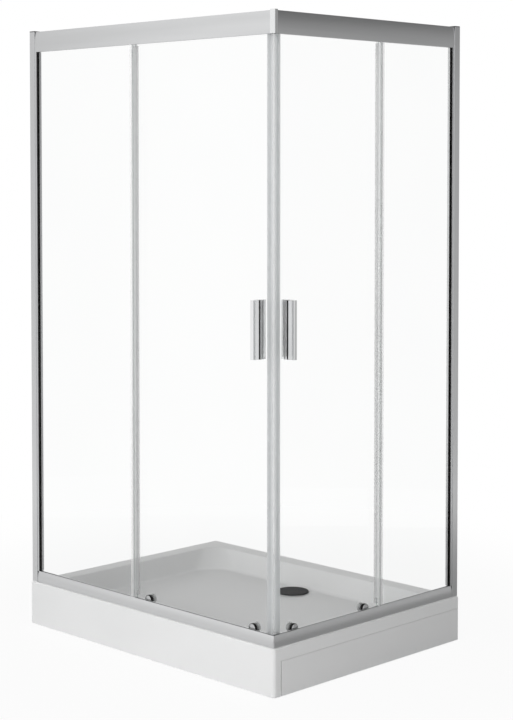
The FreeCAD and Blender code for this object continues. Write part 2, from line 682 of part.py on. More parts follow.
def frame_screws(side):
    back = WALL_PROFILE_FRONT + WALL_PROFILE_DEPTH
    s = frame_screw_s(side)
    screws = []
    for z in frame_screw_levels():
        shank = inward(FRAME_SCREW_RADIUS, s, z, back - FRAME_SCREW_LENGTH, back)
        head = inward(FRAME_SCREW_HEAD_RADIUS, s, z, back, back + FRAME_SCREW_HEAD)
        screws.append(place(fused([shank, head]), side))
    return screws


# Fixed glass and its seal

def fixed_glass(side):
    start = FIXED_SEAL_START[side] + SEAL_WEB
    bottom_z = BOTTOM_RAIL_TOP_Z - BOTTOM_SLOT_DEPTH
    top_z = TOP_RAIL_BOTTOM_Z + TOP_SLOT_DEPTH - GLASS_SLOT_PLAY
    return box(start, glass_edge(side), FIXED_GLASS_O, FIXED_GLASS_BACK_O, bottom_z, top_z)


def fixed_edge_seal(side):
    start = FIXED_SEAL_START[side]
    front = FIXED_GLASS_O - SEAL_WALL
    back = FIXED_GLASS_BACK_O + SEAL_WALL
    clip = box(start, start + FIXED_SEAL_WIDTH, front, back, BOTTOM_RAIL_TOP_Z, TOP_RAIL_BOTTOM_Z)
    glass = box(
        start + SEAL_WEB, start + FIXED_SEAL_WIDTH + OVERRUN, FIXED_GLASS_O, FIXED_GLASS_BACK_O,
        BOTTOM_RAIL_TOP_Z - OVERRUN, TOP_RAIL_BOTTOM_Z + OVERRUN,
    )
    fin_bottom_z = BOTTOM_AXLE_Z + COLLAR_RADIUS + FIN_ROLLER_GAP
    fin_end = DOOR_GLASS_O - FIXED_FIN_END_GAP
    fin = box(start, start + SEAL_WEB, back - SEAL_WALL, fin_end, fin_bottom_z, TOP_RAIL_BOTTOM_Z)
    return fused([clip, fin]).cut(glass)


# Doors

def door_trail(side):
    return FIXED_SEAL_START[side] + SEAL_WEB + DOOR_OVERLAP


def door_travel(side):
    """How far a door slides, until its trailing seal is close to the gasket at the wall."""
    return panel_start(side) - GASKET_NOSE - DOOR_OPEN_GAP - SEAL_WEB - door_trail(side)


def roller_places(side):
    """The rollers' places along a closed door."""
    return {"front": DOOR_LEAD + ROLLER_INSET, "rear": door_trail(side) - ROLLER_INSET}


def handle_screw_levels():
    return [HANDLE_CENTRE_Z + sign * HANDLE_SCREW_SPACING / 2 for sign in (-1, 1)]


def door_glass(side):
    glass = box(DOOR_LEAD, door_trail(side), DOOR_GLASS_O, DOOR_GLASS_BACK_O, DOOR_BOTTOM_Z, DOOR_TOP_Z)
    front = DOOR_GLASS_O - OVERRUN
    back = DOOR_GLASS_BACK_O + OVERRUN
    for s in roller_places(side).values():
        for z in (BOTTOM_AXLE_Z, TOP_AXLE_Z):
            glass = glass.cut(inward(GLASS_HOLE_RADIUS, s, z, front, back))
    for z in handle_screw_levels():
        glass = glass.cut(inward(HANDLE_STUD_RADIUS + RUNNING_GAP, HANDLE_S, z, front, back))
    return glass


def magnet_seal():
    """The clip on a door's leading edge, with a nose cut along the corner's diagonal."""
    front = DOOR_GLASS_O - SEAL_WALL
    back = DOOR_GLASS_BACK_O + SEAL_WALL
    far = DOOR_LEAD + MAGNET_SEAL_WIDTH
    tip = front + MAGNET_GAP + MAGNET_CHAMFER
    nose = [(tip, front), (tip - MAGNET_CHAMFER / 2, front + MAGNET_CHAMFER / 2), (back + MAGNET_GAP, back)]
    bottom_z = DOOR_BOTTOM_Z + SEAL_END_GAP
    top_z = DOOR_TOP_Z - SEAL_END_GAP
    clip = standing([(far, front)] + nose + [(far, back)], bottom_z, top_z)
    glass = box(
        DOOR_LEAD, far + OVERRUN, DOOR_GLASS_O, DOOR_GLASS_BACK_O, bottom_z - OVERRUN, top_z + OVERRUN,
    )
    return clip.cut(glass)


def door_edge_seal(side):
    trail = door_trail(side)
    front = DOOR_GLASS_O - SEAL_WALL
    back = DOOR_GLASS_BACK_O + SEAL_WALL
    bottom_z = BOTTOM_RAIL_TOP_Z + SEAL_END_GAP
    top_z = TOP_RAIL_BOTTOM_Z - SEAL_END_GAP
    far = trail + SEAL_WEB
    near = far - DOOR_SEAL_WIDTH
    clip = box(near, far, front, back, bottom_z, top_z)
    glass = box(
        near - OVERRUN, trail, DOOR_GLASS_O, DOOR_GLASS_BACK_O, bottom_z - OVERRUN, top_z + OVERRUN,
    )
    fin_end = FIXED_GLASS_BACK_O + SEAL_WALL + DOOR_FIN_END_GAP
    fin = box(trail, far, fin_end, front + SEAL_WALL, bottom_z, top_z)
    return fused([clip, fin]).cut(glass)


# Handles

def handle(face_o, direction, reach, tip_radius):
    """A bar on a flat foot, standing out from the glass, with round edges at its tip."""
    foot = HANDLE_FOOT_HALF_WIDTH
    top = HANDLE_FOOT_THICKNESS
    bar = HANDLE_BAR_HALF_WIDTH
    shoulder = bar - tip_radius
    bend = tip_radius * (1 - math.sqrt(2) / 2)

    def at(s, away):
        return (HANDLE_S + s, face_o + direction * away)
    steps = [
        at(-foot, 0), at(foot, 0), at(foot, top), at(bar, top), at(bar, reach - tip_radius),
        (at(bar - bend, reach - bend), at(shoulder, reach)), at(-shoulder, reach),
        (at(bend - bar, reach - bend), at(-bar, reach - tip_radius)),
        at(-bar, top), at(-foot, top),
    ]
    half = HANDLE_LENGTH / 2
    grip = standing(steps, HANDLE_CENTRE_Z - half, HANDLE_CENTRE_Z + half)
    inner_o = face_o + direction * HANDLE_STUD_ENTRY
    low = min(inner_o, face_o)
    high = max(inner_o, face_o)
    for z in handle_screw_levels():
        grip = grip.cut(inward(HANDLE_STUD_RADIUS + SLIP_GAP, HANDLE_S, z, low, high))
    return grip


def handle_strip(half_width, end_inset, front, back):
    """A flat strip along a handle, with holes for its studs."""
    half_height = HANDLE_LENGTH / 2 - end_inset
    low = HANDLE_CENTRE_Z - half_height
    high = HANDLE_CENTRE_Z + half_height
    strip = box(HANDLE_S - half_width, HANDLE_S + half_width, front, back, low, high)
    for z in handle_screw_levels():
        strip = strip.cut(inward(HANDLE_STUD_RADIUS + SLIP_GAP, HANDLE_S, z, front - OVERRUN, back + OVERRUN))
    return strip


def outer_handle():
    """The grip, and the base plate between its inlay and the glass."""
    grip = handle(OUTER_GRIP_O, -1, HANDLE_OUTER_REACH, HANDLE_OUTER_TIP_RADIUS)
    return [grip, handle_strip(HANDLE_FOOT_HALF_WIDTH, 0, HANDLE_BASE_O, DOOR_GLASS_O)]


def inner_handle():
    return handle(DOOR_GLASS_BACK_O + HANDLE_INNER_PAD, 1, HANDLE_INNER_REACH, HANDLE_INNER_TIP_RADIUS)


def handle_studs():
    low = OUTER_GRIP_O - HANDLE_STUD_ENTRY + RUNNING_GAP
    high = DOOR_GLASS_BACK_O + HANDLE_INNER_PAD + HANDLE_STUD_ENTRY - RUNNING_GAP
    return [inward(HANDLE_STUD_RADIUS, HANDLE_S, z, low, high) for z in handle_screw_levels()]


def handle_pads():
    """The black inlay in the outer handle, and the pad behind the inner one."""
    inset = HANDLE_INLAY_INSET
    half_width = HANDLE_FOOT_HALF_WIDTH - inset
    inlay = handle_strip(half_width, inset, OUTER_GRIP_O, HANDLE_BASE_O)
    pad_back_o = DOOR_GLASS_BACK_O + HANDLE_INNER_PAD
    return [inlay, handle_strip(half_width, inset, DOOR_GLASS_BACK_O, pad_back_o)]


# Rollers

def roller_centres(side):
    return [(s, z) for z in (BOTTOM_AXLE_Z, TOP_AXLE_Z) for s in roller_places(side).values()]


def roller_collars(side):
    """Black rings between the outside caps and the glass."""
    collars = []
    hole_radius = MOUNT_BOLT_RADIUS + SLIP_GAP
    for s, z in roller_centres(side):
        ring = inward(COLLAR_RADIUS, s, z, COLLAR_FRONT_O, DOOR_GLASS_O)
        collars.append(ring.cut(inward(hole_radius, s, z, COLLAR_FRONT_O - OVERRUN, DOOR_GLASS_O + OVERRUN)))
    return collars


def roller_caps(side):
    """Domed caps on the outside ends of the rollers' bolts. Each dome is a few cones deep."""
    caps = []
    back = COLLAR_FRONT_O
    rim_o = back - CAP_RIM
    dome_radius = (CAP_RADIUS ** 2 + CAP_DOME ** 2) / (2 * CAP_DOME)
    half_turn = math.asin(CAP_RADIUS / dome_radius)
    for s, z in roller_centres(side):
        outline = [vector(s, back, z), vector(s + CAP_RADIUS, back, z)]
        for step in range(CAP_DOME_STEPS + 1):
            turn = half_turn * (1 - step / CAP_DOME_STEPS)
            depth = dome_radius * (1 - math.cos(turn))
            outline.append(vector(s + dome_radius * math.sin(turn), rim_o - CAP_DOME + depth, z))
        cap = Part.Face(wire(outline)).revolve(vector(s, 0, z), INWARD, 360)
        bolt_end_o = back - MOUNT_BOLT_ENTRY
        caps.append(cap.cut(inward(MOUNT_BOLT_RADIUS + SLIP_GAP, s, z, bolt_end_o, back + OVERRUN)))
    return caps


def roller_bolt(s, z):
    return inward(MOUNT_BOLT_RADIUS, s, z, COLLAR_FRONT_O - MOUNT_BOLT_ENTRY + RUNNING_GAP, DOOR_GLASS_BACK_O)


def axle(s, z, start_o):
    head_o = WHEEL_BACK_O + RUNNING_GAP
    shaft = inward(WHEEL_AXLE_RADIUS, s, z, start_o, head_o)
    head = inward(AXLE_HEAD_RADIUS, s, z, head_o, head_o + AXLE_HEAD)
    return [shaft, head]


def top_mount(s):
    """A bolt, a plate against the glass and the top wheel's axle, in one piece."""
    z = TOP_AXLE_Z
    plate = inward(MOUNT_RADIUS, s, z, DOOR_GLASS_BACK_O, MOUNT_BACK_O)
    return fused([roller_bolt(s, z), plate] + axle(s, z, MOUNT_BACK_O))


def guide_bottom_z():
    return RIM_HEIGHT + BOTTOM_RAIL_BASE + GUIDE_FLOOR_GAP


def guide_top_z():
    return BOTTOM_AXLE_Z - WHEEL_FLANGE_RADIUS - 2 * RUNNING_GAP


def carriage_back_o():
    return MOUNT_BACK_O + RUNNING_GAP + CARRIAGE_PLATE


def bottom_mount(s):
    """A bolt and a plate against the glass, with a guide below that the roller carriage slides in."""
    z = BOTTOM_AXLE_Z
    half = GUIDE_HALF_WIDTH
    lip_o = carriage_back_o() + RUNNING_GAP
    back_o = lip_o + GUIDE_LIP_THICKNESS
    low = guide_bottom_z()
    high = guide_top_z()
    plate = box(s - half, s + half, DOOR_GLASS_BACK_O, MOUNT_BACK_O, low, z)
    head = inward(MOUNT_RADIUS, s, z, DOOR_GLASS_BACK_O, MOUNT_BACK_O)
    cheeks = box(s - half, s + half, MOUNT_BACK_O, back_o, low, high)
    room_half = half - GUIDE_WALL
    room = box(s - room_half, s + room_half, MOUNT_BACK_O, lip_o, low - OVERRUN, high + OVERRUN)
    mouth_half = room_half - GUIDE_LIP
    mouth = box(s - mouth_half, s + mouth_half, lip_o, back_o + OVERRUN, low - OVERRUN, high + OVERRUN)
    return fused([roller_bolt(s, z), plate, head, cheeks.cut(room).cut(mouth)])


def carriage(s):
    """A plate in the guide that carries the bottom wheel's axle, with a finger tab over the wheel."""
    z = BOTTOM_AXLE_Z
    half = GUIDE_HALF_WIDTH - GUIDE_WALL - RUNNING_GAP
    front = MOUNT_BACK_O + RUNNING_GAP
    back = carriage_back_o()
    plate = box(s - half, s + half, front, back, guide_bottom_z(), z)
    tab_z = z + WHEEL_FLANGE_RADIUS + RUNNING_GAP
    top_z = tab_z + CARRIAGE_TAB
    left = s - CARRIAGE_STEM_HALF_WIDTH
    right = s + CARRIAGE_STEM_HALF_WIDTH
    stem = box(left, right, front, back, z, top_z)
    tab = box(left, right, back, back + CARRIAGE_TAB_REACH, tab_z, top_z)
    return fused([plate, stem, tab] + axle(s, z, back))


def roller_mounts(side):
    mounts = []
    for s in roller_places(side).values():
        mounts.append(top_mount(s))
        mounts.append(bottom_mount(s))
    return mounts


def wheel(s, z):
    """A grooved wheel that runs on a rail's rib."""
    middle_o = WHEEL_O + WHEEL_WIDTH / 2
    floor_half = WHEEL_GROOVE_WIDTH / 2
    mouth_half = WHEEL_GROOVE_MOUTH / 2
    bore = WHEEL_AXLE_RADIUS + SLIP_GAP
    outline = [
        vector(s + bore, WHEEL_O, z),
        vector(s + WHEEL_FLANGE_RADIUS, WHEEL_O, z),
        vector(s + WHEEL_FLANGE_RADIUS, middle_o - mouth_half, z),
        vector(s + WHEEL_GROOVE_RADIUS, middle_o - floor_half, z),
        vector(s + WHEEL_GROOVE_RADIUS, middle_o + floor_half, z),
        vector(s + WHEEL_FLANGE_RADIUS, middle_o + mouth_half, z),
        vector(s + WHEEL_FLANGE_RADIUS, WHEEL_BACK_O, z),
        vector(s + bore, WHEEL_BACK_O, z),
    ]
    return Part.Face(wire(outline)).revolve(vector(s, 0, z), INWARD, 360)


# Door stops

def door_stop(side):
    """A block on the top rail's rib that the rear top wheel meets when the door is fully open."""
    start = roller_places(side)["rear"] + door_travel(side) + WHEEL_FLANGE_RADIUS + STOP_GAP
    middle_o = RIB_O + RIB_THICKNESS / 2
    front = middle_o - STOP_WIDTH / 2
    back = middle_o + STOP_WIDTH / 2
    block = box(start, start + STOP_LENGTH, front, back, SHELF_Z, SHELF_Z + STOP_HEIGHT)
    rib_back = RIB_O + RIB_THICKNESS
    rib_top_z = SHELF_Z + TOP_RIB_HEIGHT
    return block.cut(box(start - OVERRUN, start + STOP_LENGTH + OVERRUN, RIB_O, rib_back, SHELF_Z, rib_top_z))


# Nodes

def tray_nodes():
    return {
        "tray_shell": tray_shell(),
        "access_panel": access_panel(),
        "frame_long_tubes": long_tubes(),
        "frame_cross_tubes": cross_tubes(),
        "leg_rods": leg_rods(),
        "leg_nuts": leg_nuts(),
        "leg_feet": leg_feet(),
        "drain_flange": drain_flange(),
        "drain_trap": drain_trap(),
        "drain_cover": drain_cover(),
    }


def frame_nodes():
    nodes = {
        "bottom_corner_block": place(bottom_corner_block(), "long"),
        "top_corner_block": place(top_corner_block(), "long"),
    }
    for side in SIDE_LENGTH:
        nodes["bottom_rail_" + side] = place(bottom_rail(side), side)
        nodes["top_rail_" + side] = place(top_rail(side), side)
        nodes["wall_profile_" + side] = place(wall_profile(side), side)
        nodes["panel_profile_" + side] = place(panel_profile(side), side)
        nodes["fixed_glass_" + side] = place(fixed_glass(side), side)
        nodes["fixed_edge_seal_" + side] = place(fixed_edge_seal(side), side)
    nodes["profile_caps"] = group([place(profile_cap(side), side) for side in SIDE_LENGTH])
    nodes["glass_gaskets"] = group([place(gasket(side), side) for side in SIDE_LENGTH])
    nodes["door_stops"] = group([place(door_stop(side), side) for side in SIDE_LENGTH])
    nodes["frame_screws"] = group([screw for side in SIDE_LENGTH for screw in frame_screws(side)])
    return nodes


def door_nodes(side):
    def placed(shapes):
        return group([place(shape, side) for shape in shapes])
    nodes = {
        "door_glass_" + side: place(door_glass(side), side),
        "magnet_seal_" + side: place(magnet_seal(), side),
        "door_edge_seal_" + side: place(door_edge_seal(side), side),
        "outer_handle_" + side: placed(outer_handle()),
        "inner_handle_" + side: place(inner_handle(), side),
        "handle_studs_" + side: placed(handle_studs()),
        "rubber_seats_" + side: placed(handle_pads() + roller_collars(side)),
        "roller_caps_" + side: placed(roller_caps(side)),
        "roller_mounts_" + side: placed(roller_mounts(side)),
    }
    for end, s in roller_places(side).items():
        nodes["roller_carriage_" + side + "_" + end] = place(carriage(s), side)
        nodes["top_wheel_" + side + "_" + end] = place(wheel(s, TOP_AXLE_Z), side)
        nodes["bottom_wheel_" + side + "_" + end] = place(wheel(s, BOTTOM_AXLE_Z), side)
    return nodes


def main():
    nodes = tray_nodes()
    nodes.update(frame_nodes())
    for side in SIDE_LENGTH:
        nodes.update(door_nodes(side))
    os.makedirs("parts", exist_ok=True)
    for name, shape in nodes.items():
        shape.exportStep("parts/" + name + ".step")
        state = "valid" if shape.isValid() else "INVALID"
        print(name, len(shape.Solids), "solids", state, round(shape.Volume))


main()
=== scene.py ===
import json
import math

import bmesh
import bpy
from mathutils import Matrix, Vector


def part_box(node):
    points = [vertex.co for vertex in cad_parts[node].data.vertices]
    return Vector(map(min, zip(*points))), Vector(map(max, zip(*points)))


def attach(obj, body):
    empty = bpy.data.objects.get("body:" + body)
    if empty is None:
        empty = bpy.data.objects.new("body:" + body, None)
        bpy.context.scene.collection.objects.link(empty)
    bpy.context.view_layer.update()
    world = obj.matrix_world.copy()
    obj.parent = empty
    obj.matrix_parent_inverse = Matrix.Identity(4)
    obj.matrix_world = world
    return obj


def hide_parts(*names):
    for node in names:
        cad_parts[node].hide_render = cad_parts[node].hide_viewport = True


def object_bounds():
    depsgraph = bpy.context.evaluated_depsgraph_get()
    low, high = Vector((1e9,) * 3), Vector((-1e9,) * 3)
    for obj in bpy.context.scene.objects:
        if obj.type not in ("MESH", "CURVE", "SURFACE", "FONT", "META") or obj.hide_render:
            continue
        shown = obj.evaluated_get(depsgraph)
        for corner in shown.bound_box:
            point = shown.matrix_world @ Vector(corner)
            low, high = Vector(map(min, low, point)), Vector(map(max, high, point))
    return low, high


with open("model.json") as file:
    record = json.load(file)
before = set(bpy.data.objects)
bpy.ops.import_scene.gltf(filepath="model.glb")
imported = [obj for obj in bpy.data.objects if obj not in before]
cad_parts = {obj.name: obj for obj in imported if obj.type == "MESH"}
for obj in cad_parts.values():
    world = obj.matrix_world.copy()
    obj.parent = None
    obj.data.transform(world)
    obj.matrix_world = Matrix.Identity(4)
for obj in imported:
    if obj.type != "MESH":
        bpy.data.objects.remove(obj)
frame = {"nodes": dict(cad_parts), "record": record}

# A corner shower enclosure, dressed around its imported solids. Lengths are metres and angles degrees.

CAD_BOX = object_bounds()
NODES = frame["nodes"]
SLOT_OF = {part["node"]: part["material_slot"] for part in frame["record"]["subparts"]}
OUTWARD = {"long": Vector((0, -1, 0)), "short": Vector((1, 0, 0))}
CORNER_WARDS = Vector((1, -1, 0)).normalized()
UP = Vector((0, 0, 1))

# Camera
CAMERA_PLACE = (4.0945, -4.02, 1.6167)
CAMERA_TURN = 44.989
CAMERA_PITCH = -2.401
CAMERA_LENS = 83.209
CAMERA_SHIFT = -0.17

# Studio light: the surroundings are bright to the front left and dim to the back right, with a dim band above
# the horizon. Each level is a height, from -1 straight down to 1 straight up, and a share of light.
BRIGHT_SIDE = (-0.66, -0.75, 0.0)
SURROUND_SPAN = (-0.9, 0.9)
SURROUND_SHARES = (0.5, 1.02)
SURROUND_LEVELS = ((-0.06, 1.0), (0.3, 0.42), (0.6, 0.45), (1.0, 0.5))
KEY_PLACE = (0.2, -4.6, 1.7)
KEY_SIZE = (3.0, 3.0)
KEY_POWER = 82.0
FILL_PLACE = (3.6, -1.6, 1.0)
FILL_SIZE = (2.4, 2.4)
FILL_POWER = 29.0

# Grey cards that only mirrors show: place, turn, size, the axis and span over which the shade changes, and the
# shades at both ends of the span
CARDS = {
    "right_card": ((2.3, 2.5, 3.0), (90, 0, 137), (6.0, 8.0), "Y", (-1.1, 0.1), (0.53, 0.06)),
    "left_card": ((-3.03, -1.75, 3.0), (90, 0, -60), (4.0, 8.0), "X", (0.2, 1.2), (0.62, 1.0)),
    "floor_card": ((0.0, 0.0, 0.004), (0, 0, 45), (5.0, 5.0), "X", (-0.4, 0.5), (0.74, 0.29)),
}

# Floor
FLOOR_SIZE = (8.0, 8.0)
FLOOR_PATCHES = (3, 3, 3)
FLOOR_TONES = ((0.77, 0.77, 0.77), (0.79, 0.79, 0.79))
FLOOR_SHADOW_SHARE = 0.06
FLOOR_FADE = (0.9, 2.2)
BELOW_SHADOW_SHARE = 0.85
BELOW_INSET = 0.02
BELOW_FADE = 0.05

# Finishes: patches, grain and lines are counts a metre along each axis, and relief is a depth. The wave texture
# multiplies places by WAVE_SCALE before it makes rings of them.
NOISE_SPAN = (0.3, 0.7)
NOISE_DETAIL = 2.0
PATCHES = (9, 9, 9)
GRAIN = (900, 900, 900)
RELIEF = 0.00002
SHINE = 0.5
ACRYLIC_SHINE = 0.25
ACRYLIC_PATCHES = (2, 2, 4)
ACRYLIC_RELIEF = 0.000004
PANEL_RELIEF = 0.000006
MIRROR_RELIEF = 0.00000002
BLACK_RUBBER = {
    "dark": (0.006, 0.006, 0.006), "light": (0.012, 0.012, 0.012), "rough": (0.55, 0.75), "shine": 0.15,
}
SEAT_GREY_TONES = ((0.60, 0.605, 0.61), (0.66, 0.665, 0.67))
SEAT_GREY_FLECKS = (90, 90, 90)
SEAT_GREY_ROUGH = (0.35, 0.5)
ALUMINIUM_TONES = ((0.66, 0.665, 0.67), (0.72, 0.725, 0.73))
ALUMINIUM_ROUGH = (0.28, 0.36)
DIE_LINES_ACROSS = 1500.0
DIE_LINES_ALONG = 3.0
DIE_PATCHES_ACROSS = 22.0
DIE_PATCHES_ALONG = 1.0
DIE_RELIEF = 0.000004
RING_PITCH = 0.0012
RING_WAVER = 0.4
RING_PATCHES = (60, 60, 60)
RING_ROUGH = (0.5, 0.6)
RING_SHINE = 0.05
WAVE_SCALE = 20.0

# Glass: how much it mirrors, from straight on to edge on, and how fast that grows
GLASS_MIRROR = (0.012, 0.5)
GLASS_MIRROR_POWER = 5.0
GLASS_WAVER = (6, 6, 6)
GLASS_ROUGH = (0.0, 0.02)
GLASS_PATCHES = (3, 3, 3)
GLASS_TONES = ((0.990, 0.992, 0.991), (0.993, 0.995, 0.994))
GLASS_EDGE_GRAIN = (500, 500, 500)
GLASS_EDGE_TONES = ((0.76, 0.85, 0.81), (0.82, 0.90, 0.86))
GLASS_EDGE_ROUGH = (0.2, 0.35)

# Seals: how much of the view the corner seal covers on its sides and on its nose, how far a face looks at the
# corner where it turns into the nose, and the share of light that the vinyl passes on. The nose is covered
# less, as a painted highlight.
SEAL_LINES = (420, 420, 1.5)
SEAL_ROUGH = (0.25, 0.4)
SEAL_RELIEF = 0.00004
MAGNET_TONES = ((0.66, 0.67, 0.68), (0.71, 0.72, 0.73))
MAGNET_COVERS_WITH_PAINTED_HIGHLIGHT = (0.77, 0.3)
PAINTED_HIGHLIGHT_NOSE = (0.8, 0.95)
MAGNET_MILK = 0.65
MILK_TONES = ((0.88, 0.885, 0.89), (0.92, 0.925, 0.93))

# Rounding of edges
FINE_ROUND = 0.0004
NUT_ROUND = 0.0008
TUBE_ROUND = 0.0012
ROUND_SEGMENTS = 2
EDGE_ANGLE = 40.0
FLAT_ANGLE = 0.5
WELD = 0.00001

# Roller caps
CAP_RIM = 0.0015
CAP_EDGE = 0.0006
CAP_RINGS = 12
CAP_SEGMENTS = 64

# Leg rods
THREAD_PITCH = 0.00175
THREAD_DEPTH = 0.0009
THREAD_ROWS = 4
THREAD_SEGMENTS = 24

# Frame screws
QUARTER_TURN = math.pi / 2
SCREW_RINGS = 4
SCREW_STEPS = 4
SCREW_HEAD = 0.0022
SCREW_CROWN = 0.0008
CROSS_HALF_WIDTH = 0.0006
CROSS_REACH = 0.0022
CROSS_DEPTH = 0.0012

# Trap nut
NUT_RIBS = 28
NUT_RIB_DEPTH = 0.0018
NUT_RIB_WIDTH = 0.005
NUT_RIB_HEIGHT = 0.006
NUT_RIB_MARGIN = 0.001
NUT_RIB_STEPS = 6


# Materials

def new_material(name):
    """A new material, its node tree and its Principled shader."""
    made = bpy.data.materials.new(name)
    made.use_nodes = True
    return made, made.node_tree, made.node_tree.nodes["Principled BSDF"]


def feed(tree, value, socket):
    """Gives a socket a number or the output of another node."""
    if isinstance(value, (int, float)):
        socket.default_value = value
    else:
        tree.links.new(value, socket)


def worked(tree, operation, *values):
    """The result of a sum on numbers or outputs."""
    node = tree.nodes.new("ShaderNodeMath")
    node.operation = operation
    for value, socket in zip(values, node.inputs):
        feed(tree, value, socket)
    return node.outputs["Value"]


def ranged(tree, value, span, results, smooth=False):
    """A value carried from one span of numbers to another."""
    node = tree.nodes.new("ShaderNodeMapRange")
    if smooth:
        node.interpolation_type = "SMOOTHSTEP"
    node.inputs["From Min"].default_value = span[0]
    node.inputs["From Max"].default_value = span[1]
    node.inputs["To Min"].default_value = results[0]
    node.inputs["To Max"].default_value = results[1]
    tree.links.new(value, node.inputs["Value"])
    return node.outputs["Result"]


def place_of(tree, coordinate="Object"):
    """The place of a point, or another of its coordinates, such as Normal."""
    return tree.nodes.new("ShaderNodeTexCoord").outputs[coordinate]


def along(tree, coordinate, direction):
    """A coordinate of a point, measured along a fixed direction."""
    share = tree.nodes.new("ShaderNodeVectorMath")
    share.operation = "DOT_PRODUCT"
    share.inputs[1].default_value = direction
    tree.links.new(place_of(tree, coordinate), share.inputs[0])
    return share.outputs["Value"]


def split(tree, vector):
    """The X, Y and Z outputs of a vector."""
    axes = tree.nodes.new("ShaderNodeSeparateXYZ")
    tree.links.new(vector, axes.inputs["Vector"])
    return axes.outputs


def noise(tree, scale):
    """Soft noise with so many patches a metre along each axis."""
    stretch = tree.nodes.new("ShaderNodeMapping")
    stretch.inputs["Scale"].default_value = scale
    tree.links.new(place_of(tree), stretch.inputs["Vector"])
    texture = tree.nodes.new("ShaderNodeTexNoise")
    texture.inputs["Scale"].default_value = 1.0
    texture.inputs["Detail"].default_value = NOISE_DETAIL
    tree.links.new(stretch.outputs["Vector"], texture.inputs["Vector"])
    return texture.outputs["Fac"]


def spread(tree, factor, results):
    """A number between two results that follows a noise."""
    return ranged(tree, factor, NOISE_SPAN, results)


def blend_colour(tree, factor, tones):
    """A colour between two tones that follows a noise."""
    ramp = tree.nodes.new("ShaderNodeValToRGB")
    for stop, position, colour in zip(ramp.color_ramp.elements, NOISE_SPAN, tones):
        stop.position = position
        stop.color = (*colour, 1.0)
    tree.links.new(factor, ramp.inputs["Fac"])
    return ramp.outputs["Color"]


def bump(tree, shader, height, depth):
    """Relief of a depth on a shader."""
    relief = tree.nodes.new("ShaderNodeBump")
    relief.inputs["Distance"].default_value = depth
    relief.inputs["Strength"].default_value = 1.0
    tree.links.new(height, relief.inputs["Height"])
    tree.links.new(relief.outputs["Normal"], shader.inputs["Normal"])


def paint(tree, shader, factor, tones, rough):
    """Colour and gloss of a shader that follow a noise."""
    tree.links.new(blend_colour(tree, factor, tones), shader.inputs["Base Color"])
    tree.links.new(spread(tree, factor, rough), shader.inputs["Roughness"])


def mixed(tree, share, first, second):
    """A mix of two shaders' outputs, with a share of the second that is a number or an output."""
    mix = tree.nodes.new("ShaderNodeMixShader")
    feed(tree, share, mix.inputs["Fac"])
    tree.links.new(first, mix.inputs[1])
    tree.links.new(second, mix.inputs[2])
    return mix.outputs["Shader"]


def show(tree, shader):
    """Makes a shader's output the surface of a material."""
    tree.links.new(shader, tree.nodes["Material Output"].inputs["Surface"])


def surface(name, dark, light, rough, metal=0.0, patches=PATCHES, grain=GRAIN, relief=RELIEF, shine=SHINE):
    """A solid finish: colour and gloss that vary a little, and a fine relief."""
    made, tree, shader = new_material(name)
    fine = noise(tree, grain)
    tree.links.new(blend_colour(tree, noise(tree, patches), (dark, light)), shader.inputs["Base Color"])
    tree.links.new(spread(tree, fine, rough), shader.inputs["Roughness"])
    shader.inputs["Metallic"].default_value = metal
    shader.inputs["Specular IOR Level"].default_value = shine
    bump(tree, shader, fine, relief)
    return made


def aluminium(axis):
    """Satin extruded aluminium, with faint die lines along its axis."""
    lines = [DIE_LINES_ACROSS] * 3
    lines[axis] = DIE_LINES_ALONG
    patches = [DIE_PATCHES_ACROSS] * 3
    patches[axis] = DIE_PATCHES_ALONG
    return surface(
        "aluminium_" + "xyz"[axis], *ALUMINIUM_TONES, ALUMINIUM_ROUGH, metal=1.0, patches=patches, grain=lines,
        relief=DIE_RELIEF,
    )


def ringed(name, dark, light, centre):
    """A turned finish with fine rings round a vertical centre line."""
    made, tree, shader = new_material(name)
    shift = tree.nodes.new("ShaderNodeMapping")
    shift.inputs["Location"].default_value = (-centre.x, -centre.y, 0)
    tree.links.new(place_of(tree), shift.inputs["Vector"])
    wave = tree.nodes.new("ShaderNodeTexWave")
    wave.wave_type = "RINGS"
    wave.rings_direction = "Z"
    wave.inputs["Scale"].default_value = 2 * math.pi / (WAVE_SCALE * RING_PITCH)
    wave.inputs["Distortion"].default_value = RING_WAVER
    tree.links.new(shift.outputs["Vector"], wave.inputs["Vector"])
    rings = wave.outputs["Fac"]
    tree.links.new(blend_colour(tree, noise(tree, RING_PATCHES), (dark, light)), shader.inputs["Base Color"])
    tree.links.new(spread(tree, rings, RING_ROUGH), shader.inputs["Roughness"])
    shader.inputs["Metallic"].default_value = 0.0
    shader.inputs["Specular IOR Level"].default_value = RING_SHINE
    bump(tree, shader, rings, RELIEF)
    return made


def clear_glass(name, across):
    """A clear pane: what is behind it shows unbent, with a faint mirror image. Its cut edges are green."""
    made, tree, edge = new_material(name)
    paint(tree, edge, noise(tree, GLASS_EDGE_GRAIN), GLASS_EDGE_TONES, GLASS_EDGE_ROUGH)
    through = tree.nodes.new("ShaderNodeBsdfTransparent")
    tree.links.new(blend_colour(tree, noise(tree, GLASS_PATCHES), GLASS_TONES), through.inputs["Color"])
    mirror = tree.nodes.new("ShaderNodeBsdfGlossy")
    tree.links.new(spread(tree, noise(tree, GLASS_WAVER), GLASS_ROUGH), mirror.inputs["Roughness"])
    turned = tree.nodes.new("ShaderNodeLayerWeight")
    steep = worked(tree, "POWER", turned.outputs["Facing"], GLASS_MIRROR_POWER)
    gloss = ranged(tree, steep, (0.0, 1.0), GLASS_MIRROR)
    pane = mixed(tree, gloss, through.outputs["BSDF"], mirror.outputs["BSDF"])
    flat = worked(tree, "ABSOLUTE", along(tree, "Normal", across))
    show(tree, mixed(tree, flat, edge.outputs["BSDF"], pane))
    return made


